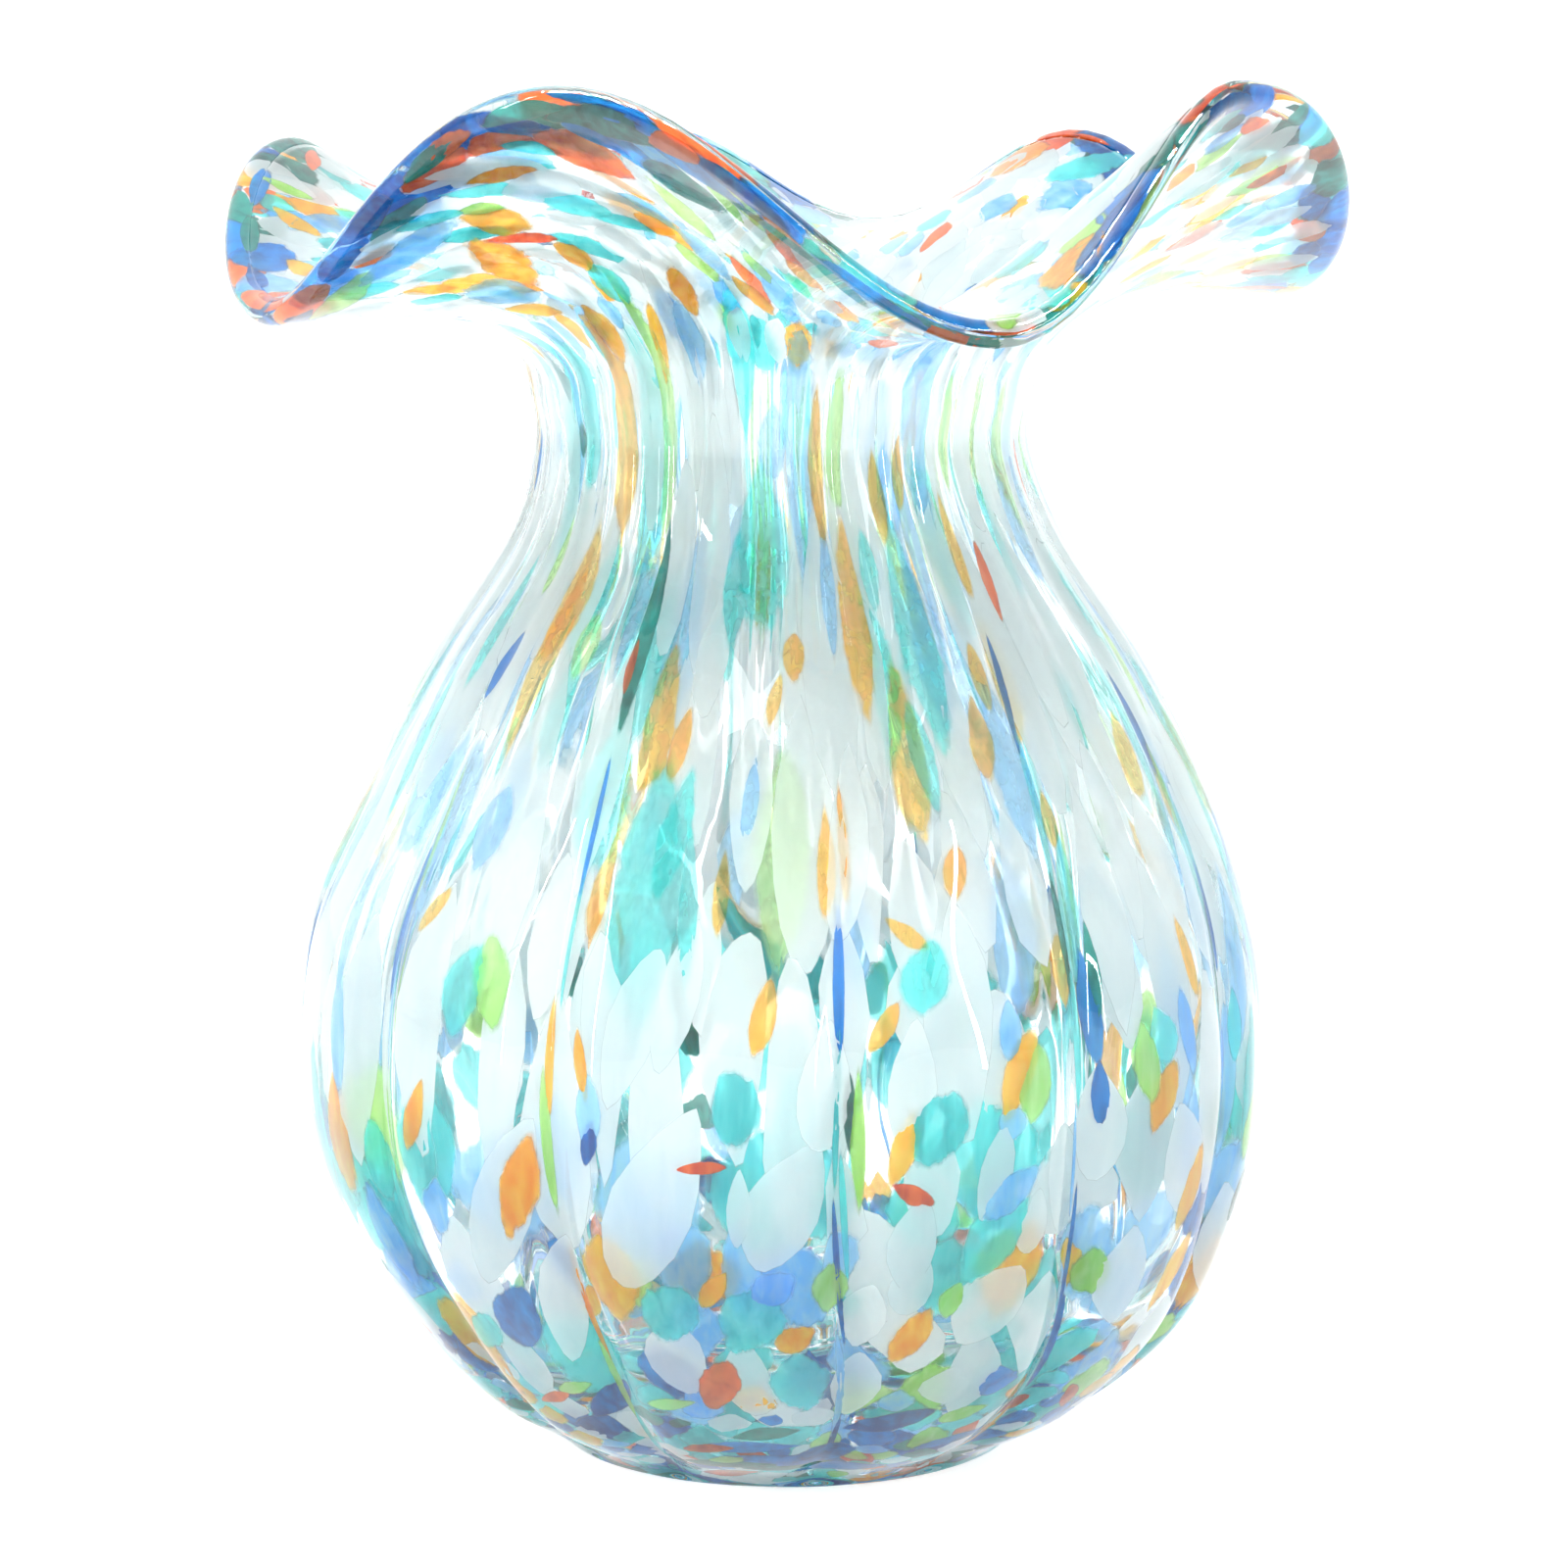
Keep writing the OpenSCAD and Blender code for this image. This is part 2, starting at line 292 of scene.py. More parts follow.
def new_material(name):
    """An empty material with its nodes and links."""
    m = bpy.data.materials.new(name)
    m.use_nodes = True
    m.node_tree.nodes.clear()
    return m, m.node_tree.nodes, m.node_tree.links


def noise_node(nodes, links, coord, scale, stretch):
    """Noise from 0 to 1, drawn out by stretch along each axis."""
    mapping = nodes.new("ShaderNodeMapping")
    mapping.inputs["Scale"].default_value = stretch
    links.new(coord, mapping.inputs["Vector"])
    noise = nodes.new("ShaderNodeTexNoise")
    noise.inputs["Scale"].default_value = scale
    noise.inputs["Detail"].default_value = NOISE_DETAIL
    noise.inputs["Roughness"].default_value = NOISE_ROUGHNESS
    noise.inputs["Distortion"].default_value = NOISE_DISTORTION
    links.new(mapping.outputs["Vector"], noise.inputs["Vector"])
    return noise.outputs["Fac"]


def ramp_node(nodes, links, fac, stops):
    """A colour that runs through stops of position and colour."""
    ramp = nodes.new("ShaderNodeValToRGB")
    while len(ramp.color_ramp.elements) < len(stops):
        ramp.color_ramp.elements.new(0.5)
    for element, (pos, colour) in zip(ramp.color_ramp.elements, stops):
        element.position = pos
        element.color = (*colour, 1.0)
    links.new(fac, ramp.inputs["Fac"])
    return ramp.outputs["Color"]


def clear_glass(name, tint_a, tint_b):
    """Polished clear glass with faint upright striae and a breath of aqua."""
    m, nodes, links = new_material(name)
    coord = nodes.new("ShaderNodeTexCoord").outputs["Object"]
    striae = noise_node(nodes, links, coord, STRIAE_SCALE, STRIAE_STRETCH)
    tint = ramp_node(nodes, links, striae, [(0.3, tint_a), (0.7, tint_b)])
    bump = nodes.new("ShaderNodeBump")
    bump.inputs["Strength"].default_value = STRIAE_RELIEF
    bump.inputs["Distance"].default_value = MM
    links.new(striae, bump.inputs["Height"])
    glass = nodes.new("ShaderNodeBsdfPrincipled")
    glass.inputs["Roughness"].default_value = 0.0
    glass.inputs["IOR"].default_value = GLASS_IOR
    glass.inputs["Transmission Weight"].default_value = 1.0
    links.new(tint, glass.inputs["Base Color"])
    links.new(bump.outputs["Normal"], glass.inputs["Normal"])
    out = nodes.new("ShaderNodeOutputMaterial")
    links.new(glass.outputs["BSDF"], out.inputs["Surface"])
    return m


def fused_face(name):
    """The hidden face where two clear layers are fused: light passes it without bending."""
    m, nodes, links = new_material(name)
    clear = nodes.new("ShaderNodeBsdfTransparent")
    out = nodes.new("ShaderNodeOutputMaterial")
    links.new(clear.outputs["BSDF"], out.inputs["Surface"])
    return m


def math_node(nodes, links, operation, first, second, third=None):
    """A maths node; each input is either a socket or a number."""
    node = nodes.new("ShaderNodeMath")
    node.operation = operation
    for socket, value in zip(node.inputs, (first, second, third)):
        if isinstance(value, (int, float)):
            socket.default_value = value
        elif value is not None:
            links.new(value, socket)
    return node.outputs[0]


def range_node(nodes, links, value, low, high, to_low, to_high):
    """A smooth step from to_low to to_high as value goes from low to high."""
    node = nodes.new("ShaderNodeMapRange")
    node.interpolation_type = "SMOOTHSTEP"
    node.inputs["From Min"].default_value = low
    node.inputs["From Max"].default_value = high
    node.inputs["To Min"].default_value = to_low
    node.inputs["To Max"].default_value = to_high
    links.new(value, node.inputs["Value"])
    return node.outputs["Result"]


# Share of the light that opal glass passes on rather than sends back
GLOW = 0.62
# Painted shade: light reaches the flare from both sides, so the colour of its chips is made darker
# by this factor there, to keep its colour
FLARE_PAINTED_SHADE = 0.87
# Heights in metres, from and to: where chips begin to be blown thin, where they end, and where
# the painted shade of the flare sets in
THIN_STARTS = (0.07, 0.11)
THIN_ENDS = (0.175, 0.200)
FLARE_PAINTED_SHADE_STARTS = (0.180, 0.206)
# Share of a chip's tone that is its own, and the range of noise that makes its streaks
OWN_TONE = 0.5
STREAK_RANGE = (0.38, 0.62)
# How much the noise moves the edge of the colour, as a share of its width
RAGGED = 1.6


def mix_colour(nodes, links, blend, fac, first, second):
    """A mix of two colours; fac and second are each either a socket or a constant."""
    node = nodes.new("ShaderNodeMix")
    node.data_type = "RGBA"
    node.blend_type = blend
    for name, value in (("Factor", fac), ("A", first), ("B", second)):
        if isinstance(value, (float, tuple)):
            node.inputs[name].default_value = value
        else:
            links.new(value, node.inputs[name])
    return node.outputs["Result"]


def opal_shader(nodes, links, colour):
    """Milky glass: part of the light comes back and the rest is passed on, both coloured."""
    diffuse = nodes.new("ShaderNodeBsdfDiffuse")
    translucent = nodes.new("ShaderNodeBsdfTranslucent")
    links.new(colour, diffuse.inputs["Color"])
    links.new(colour, translucent.inputs["Color"])
    opal = nodes.new("ShaderNodeMixShader")
    opal.inputs["Fac"].default_value = GLOW
    links.new(diffuse.outputs["BSDF"], opal.inputs[1])
    links.new(translucent.outputs["BSDF"], opal.inputs[2])
    return opal.outputs["Shader"]


def chip_glass(name, shades, through, edge, core_clear, thin_clear, thin_shade_and_painted_light, thin_share,
               streaky):
    """Coloured glass: each chip its own shade, streaked, clearing towards its thin edge.

    edge is how far in from the rim the colour starts, core_clear how clear the middle is near
    the base and the lip, thin_clear how clear it is on the body, where it was blown thin and
    its colour went thin_share of the way to thin_shade_and_painted_light; for the opal white
    that shade is partly painted light, which lifts the upper body and shoulder that get less
    light. streaky is how strong the streaks are."""
    m, nodes, links = new_material(name)

    def maths(*values):
        return math_node(nodes, links, *values)

    coord = nodes.new("ShaderNodeTexCoord").outputs["Object"]
    streak = noise_node(nodes, links, coord, STREAK_SCALE, STREAK_STRETCH)
    own = nodes.new("ShaderNodeNewGeometry").outputs["Random Per Island"]
    split = nodes.new("ShaderNodeSeparateXYZ")
    links.new(coord, split.inputs["Vector"])
    z = split.outputs["Z"]
    blown = maths("MULTIPLY", range_node(nodes, links, z, *THIN_STARTS, 0.0, 1.0),
                  range_node(nodes, links, z, *THIN_ENDS, 1.0, 0.0))

    # The colour: a streaked shade that pales where the chip is thin (for the opal white partly
    # painted light) and is darkened over the flare as painted shade
    contrast = streaky * 5
    own_tone = maths("MULTIPLY_ADD", own, OWN_TONE, OWN_TONE / 2 - contrast / 2)
    tone = maths("MULTIPLY_ADD", streak, contrast, own_tone)
    colour = ramp_node(nodes, links, tone, shades)
    # Partly painted light: the opal white pales to a brighter shade on the upper body and shoulder
    paling_and_painted_light = maths("MULTIPLY", blown, thin_share)
    colour = mix_colour(nodes, links, "MIX", paling_and_painted_light, colour, (*thin_shade_and_painted_light, 1.0))
    # Painted shade: the colour is darkened over the flare, which gets light from both sides
    painted_flare_shade = range_node(nodes, links, z, *FLARE_PAINTED_SHADE_STARTS, 1.0, FLARE_PAINTED_SHADE)
    colour = mix_colour(nodes, links, "MULTIPLY", 1.0, colour, painted_flare_shade)

    # How clear the middle of the chip is
    middle = maths("MULTIPLY_ADD", blown, thin_clear - core_clear, core_clear)
    middle = maths("MULTIPLY", middle, maths("MULTIPLY_ADD", own, 0.5, 0.75))
    streaks = range_node(nodes, links, streak, *STREAK_RANGE, 1 - streaky, 1 + streaky)
    middle = maths("MULTIPLY", middle, streaks)

    # How solid the colour is: nothing at the rim, and all of it from edge inwards
    rim = nodes.new("ShaderNodeAttribute")
    rim.attribute_name = "core"
    ragged = maths("ADD", rim.outputs["Fac"], -edge * RAGGED / 2)
    ragged = maths("MULTIPLY_ADD", streak, edge * RAGGED, ragged)
    solid = range_node(nodes, links, ragged, 0.0, edge, 0.0, 1.0)

    # The clear share is 1 - solid * (1 - middle)
    kept = maths("MULTIPLY", solid, maths("MULTIPLY_ADD", middle, -1.0, 1.0))
    share = maths("MULTIPLY_ADD", kept, -1.0, 1.0)

    clear = nodes.new("ShaderNodeBsdfTransparent")
    depth = maths("POWER", solid, 3.0)
    tint = mix_colour(nodes, links, "MIX", depth, (1.0, 1.0, 1.0, 1.0), (*through, 1.0))
    links.new(tint, clear.inputs["Color"])
    mix = nodes.new("ShaderNodeMixShader")
    links.new(share, mix.inputs["Fac"])
    links.new(opal_shader(nodes, links, colour), mix.inputs[1])
    links.new(clear.outputs["BSDF"], mix.inputs[2])
    out = nodes.new("ShaderNodeOutputMaterial")
    links.new(mix.outputs["Shader"], out.inputs["Surface"])
    return m


# ---------------------------------------------------------------- the two clear layers
BODY_ROWS = 130
FLARE_ROWS = 56
HIDDEN_BODY_ROWS = 60
HIDDEN_FLARE_ROWS = 24
LIP_TURNS = 12
BEAD_ROWS = 4
# Radii of the rings of the base and of its hidden faces
BASE_RINGS = [9, 18, 27, 33]
HIDDEN_RINGS = [18, 33]
FLOOR_RINGS = 22
# How sharply the inside floor turns up into the wall
FLOOR_TURN = 7
# The first row of the inside wall stands clear of the floor's edge
FLOOR_GAP = 0.004
# Unevenness in mm, its seed and the height of the flutes, outside and inside
OUTER_WAVES = (0.16, 11, 1.0)
INNER_WAVES = (0.3, 23, -0.8)


def row_places(body_rows, flare_rows, top=2.0):
    """Places up the wall of the rows of the mesh, from 0 to top."""
    low = np.linspace(0, 1, body_rows, endpoint=False)
    high = 1 + (top - 1) * np.linspace(0, 1, flare_rows + 1)
    return np.concatenate([low, high])


def uneven_ring(u, depth, share, amount, seed, fluted):
    """A ring of the wall, pushed inwards a little where hand work left it uneven."""
    points = wall(ANGLES, np.full(ANGLES.shape, u), depth, share)
    r = np.hypot(points[:, 0], points[:, 1])
    z = points[:, 2]
    push = waves(ANGLES, z, WAVE_SIZE, amount, seed) * np.clip(z / EVEN_BASE, 0, 1)
    push = push * np.clip((2 - u) / EVEN_LIP, 0, 1) + fluted * flutes(ANGLES, z)
    k = (r + push) / np.maximum(r, 1e-6)
    return np.stack([points[:, 0] * k, points[:, 1] * k, z], -1)


def disc_rings(radii, z):
    """Flat rings at one height."""
    return [spot(ANGLES, np.full(ANGLES.shape, r), np.full(ANGLES.shape, z)) for r in radii]


def lip_rings():
    """The half round of the lip, from its outside over the top to its inside."""
    top = np.full(ANGLES.shape, 2.0)
    p, d = outside(ANGLES, top), up_wall(ANGLES, top)
    out = np.stack([d[:, 1], -d[:, 0]], -1)
    rings = []
    for turn in np.linspace(0, np.pi, LIP_TURNS + 1)[1:-1]:
        q = p[:, :2] + d * LIP_T / 2 * np.sin(turn) - out * LIP_T / 2 * (1 - np.cos(turn))
        rings.append(spot(ANGLES, q[:, 0], q[:, 1]))
    return rings


def build_casing(glass, fused):
    """The outer casing: base, outside, lip, and the hidden face that lies on the chips."""
    outer = [uneven_ring(u, 0, OUTSIDE_SHARE, *OUTER_WAVES)
             for u in row_places(BODY_ROWS, FLARE_ROWS)]
    base = disc_rings(BASE_RINGS, 0.0)
    bead = [wall(ANGLES, u, WALL_T, INSIDE_SHARE)
            for u in np.linspace(2.0, BEAD_START, BEAD_ROWS)]
    hidden = [wall(ANGLES, u, CASING_T, MIDDLE_SHARE)
              for u in row_places(HIDDEN_BODY_ROWS, HIDDEN_FLARE_ROWS, BEAD_START)[::-1]]
    inside_base = disc_rings(HIDDEN_RINGS[::-1], CASING_T)
    shown = base + outer + lip_rings() + bead
    rings = shown + hidden + inside_base
    slots = [0] * len(shown) + [1] * (len(rings) - len(shown) + 1)
    return shell_object("outer_casing_glass", [0, 0, 0], rings, [0, 0, CASING_T],
                        slots, [glass, fused])


def floor_ring(share):
    """A ring of the inside floor, at a share of the way out to the wall."""
    edge = wall(ANGLES, np.full(ANGLES.shape, FLOOR_JOIN), WALL_T, INSIDE_SHARE)
    z = FLOOR_Z + (edge[:, 2] - FLOOR_Z) * share ** FLOOR_TURN
    return np.stack([edge[:, 0] * share, edge[:, 1] * share, z], -1)


def build_gather(glass, fused):
    """The inner gather: the hidden face under the chips, the inside and the inside floor."""
    base = disc_rings(HIDDEN_RINGS, GATHER_D)
    hidden = [wall(ANGLES, u, GATHER_D, MIDDLE_SHARE)
              for u in row_places(HIDDEN_BODY_ROWS, HIDDEN_FLARE_ROWS, BEAD_START)]
    places = row_places(BODY_ROWS, FLARE_ROWS, BEAD_START)[::-1]
    inner = [uneven_ring(u, WALL_T, INSIDE_SHARE, *INNER_WAVES)
             for u in places if u > FLOOR_JOIN + FLOOR_GAP]
    floor = [floor_ring(s) for s in np.linspace(1.0, 0.0, FLOOR_RINGS)[:-1]]
    rings = base + hidden + inner + floor
    n_hidden = len(base) + len(hidden)
    slots = [1] * (n_hidden + 1) + [0] * (len(rings) - n_hidden)
    return shell_object("inner_gather_glass", [0, 0, GATHER_D], rings, [0, 0, FLOOR_Z],
                        slots, [glass, fused])


# ---------------------------------------------------------------- the coloured chips
COLOURS = ["opal_white", "turquoise", "sky_blue", "cobalt_blue", "amber", "coral_red",
           "lime_green", "bottle_green"]
W, T, S, C, A, R, L, B = range(8)

OUTLINE = 16
TURN = np.arange(OUTLINE) * 2 * np.pi / OUTLINE
THICK = 0.1
# Rings of a chip from its rim inwards: share of the outline, rise over its middle plane, core
CHIP_RINGS = [(1.0, 0.0, 0.0), (0.8, 0.6, 0.36), (0.45, 1.0, 1.0), (0.8, -0.6, -1.0),
              (0.45, -1.0, -1.0)]
# Depths below the outside: the two layers of the belts, with the striking chips over and under
FRONT_DEPTH = 2.75
BACK_DEPTH = 3.3
OUTER_DEPTH = 2.42
INNER_DEPTH = 3.6
# Chips less deep than this belong to the front layer
MID_DEPTH = 3
# A chip's cell: how square its corners are, how many neighbours shape it, and its limits
CORNER_ROUND = 7.0
NEIGHBOURS = 9
CELL_MIN = 0.15
CELL_MAX = 0.75
CHIP_WOBBLE = 0.05
# A striking chip clears away belt chips no further than this from its middle, in mm
LONGEST_REACH = 20
# The smallest radius that a width is measured at, in the middle of the base
SMALLEST_ROUND = 4.0
# The front of the flare was swung round: angle of the middle, lean, height and rise in mm
SWIRL_AT = -28
SWIRL_LEAN = -50
SWIRL_FROM = 228
SWIRL_RISE = 14
# Threads along the creases: from and to in mm, their spacing, how far they stand over the
# striking chips, and the shares of their colours
THREADS_FROM = 18.0
THREADS_TO = 140.0
THREAD_STEP = 20.0
THREAD_RISE = 0.04
THREAD_SHARES = [0.3, 0.2, 0.2, 0.15, 0.1, 0.05]
# How far in from its edge the chips of the base start, and how far chips pass the lip, in mm
BASE_INSET = 2.0
LIP_REACH = 1.5
# Coloured chips fade towards their rim, so they are made this much larger to look as large
SOFT_EXTRA = 1.2


def meridian():
    """Places up the wall and the mean distance of each from the edge of the base."""
    places = np.linspace(0, 2, 401)
    phi = np.arange(0, 360, 10.0)[:, None]
    p = outside(phi, np.broadcast_to(places, (len(phi), len(places))))[..., :2]
    step = np.linalg.norm(np.diff(p, axis=1), axis=-1).mean(0)
    return places, np.concatenate([[0], np.cumsum(step)])


PLACES, LENGTHS = meridian()
LIP_S = LENGTHS[-1]


def in_layer(phi, s, depth):
    """Points s mm up the wall from the edge of the base; below zero they lie in the base."""
    side = wall(phi, np.interp(s, LENGTHS, PLACES), depth, MIDDLE_SHARE)
    over = np.clip(s - LIP_S, 0, LIP_REACH)
    edge = up_wall(phi, np.full(phi.shape, 2.0))
    side = side + spot(phi, edge[:, 0] * over, edge[:, 1] * over)
    under = spot(phi, np.maximum(FOOT_R - BASE_INSET + s, 0.5), depth)
    return np.where((s < 0)[:, None], under, side)


SCALES = np.concatenate([np.full(OUTLINE, k) for k, _, _ in CHIP_RINGS] + [[0.0, 0.0]])
RISES = np.concatenate([np.full(OUTLINE, rise) for _, rise, _ in CHIP_RINGS] + [[1.0, -1.0]])


def flake(phi, s, across, along, depth):
    """One chip from the outline of its rim, in degrees round and mm up the wall."""
    across = np.append(np.tile(across, len(CHIP_RINGS)), [0, 0]) * SCALES
    along = np.append(np.tile(along, len(CHIP_RINGS)), [0, 0]) * SCALES
    return in_layer(phi + across, s + along, depth - RISES * THICK)


# The outer face carries the colour; the inner face is fused to the clear glass and does not show
FLAKE_CORE = np.concatenate([np.full(OUTLINE, core) for _, _, core in CHIP_RINGS] + [[1.0, -1.0]])


def flake_faces():
    """Faces of one chip: bands between its rings, and a fan at each end."""
    n = OUTLINE
    top, bottom = 5 * n, 5 * n + 1
    faces = []
    for j in range(n):
        k = (j + 1) % n
        faces += [(j, k, n + k, n + j), (n + j, n + k, 2 * n + k, 2 * n + j),
                  (2 * n + j, 2 * n + k, top), (k, j, 3 * n + j, 3 * n + k),
                  (3 * n + k, 3 * n + j, 4 * n + j, 4 * n + k), (4 * n + k, 4 * n + j, bottom)]
    return faces


FLAKE_FACES = flake_faces()
flakes = [[] for _ in COLOURS]

# Belts of chips up the wall: from and to in mm, rows, chips round it, share left clear, shares
# of the colours (in the order of COLOURS), smallest and largest fill of a cell, and depth
BELTS = [
    # base and bowl: small, dense, strong colours
    (-34, 0, 4, 24, 0.05, (26, 24, 8, 22, 3, 6, 3, 9), (0.9, 1.1), FRONT_DEPTH),
    (-34, 0, 4, 19, 0.05, (8, 40, 12, 26, 3, 4, 3, 9), (0.95, 1.1), BACK_DEPTH),
    (0, 20, 6, 62, 0.06, (36, 16, 8, 20, 4, 6, 3, 7), (0.85, 1.1), FRONT_DEPTH),
    (20, 38, 3, 50, 0.16, (40, 17, 10, 12, 5, 6, 4, 6), (0.8, 1.05), FRONT_DEPTH),
    (0, 36, 5, 42, 0.10, (8, 44, 12, 24, 3, 3, 3, 8), (0.95, 1.15), BACK_DEPTH),
    # lower body: broad white petals with strong colour in the gaps
    (36, 84, 3, 44, 0.4, (56, 14, 15, 4, 5, 0, 5, 1), (0.65, 1.0), FRONT_DEPTH),
    (34, 84, 4, 36, 0.14, (12, 50, 24, 6, 4, 0, 4, 2), (0.9, 1.2), BACK_DEPTH),
    # body: long opal petals almost touching
    (82, 172, 3, 54, 0.05, (87, 5, 4, 0, 2, 0, 2, 0), (0.86, 1.06), FRONT_DEPTH),
    (82, 172, 4, 54, 0.45, (54, 19, 19, 0, 4, 0, 4, 0), (0.75, 1.1), BACK_DEPTH),
    # neck: drawn out thin
    (166, 222, 2, 62, 0.05, (78, 7, 7, 0, 4, 0, 4, 0), (0.85, 1.1), FRONT_DEPTH),
    (166, 222, 2, 54, 0.45, (54, 18, 16, 0, 7, 0, 5, 0), (0.8, 1.1), BACK_DEPTH),
    # flare: a close mosaic
    (220, 266, 6, 92, 0.06, (69, 11, 10, 0.5, 5, 1.5, 3, 0), (0.9, 1.15), FRONT_DEPTH),
    (220, 266, 6, 78, 0.18, (72, 10, 10, 0.5, 4, 1, 2.5, 0), (0.9, 1.2), BACK_DEPTH),
    # lip: dark and strong colours drawn out along the edge
    (262, 269, 1, 92, 0.10, (54, 12, 9, 7, 6, 4, 4, 5), (0.9, 1.15), FRONT_DEPTH),
    (262, 269, 1, 70, 0.15, (60, 12, 11, 4, 5, 2, 3, 3), (0.9, 1.15), BACK_DEPTH),
    (267, LIP_S + 1.5, 2, 62, 0.03, (9, 12, 3, 30, 4, 10, 3, 29), (1.05, 1.3), FRONT_DEPTH),
    (268, LIP_S + 1.5, 1, 54, 0.05, (6, 12, 3, 34, 3, 8, 3, 31), (1.05, 1.3), BACK_DEPTH),
]
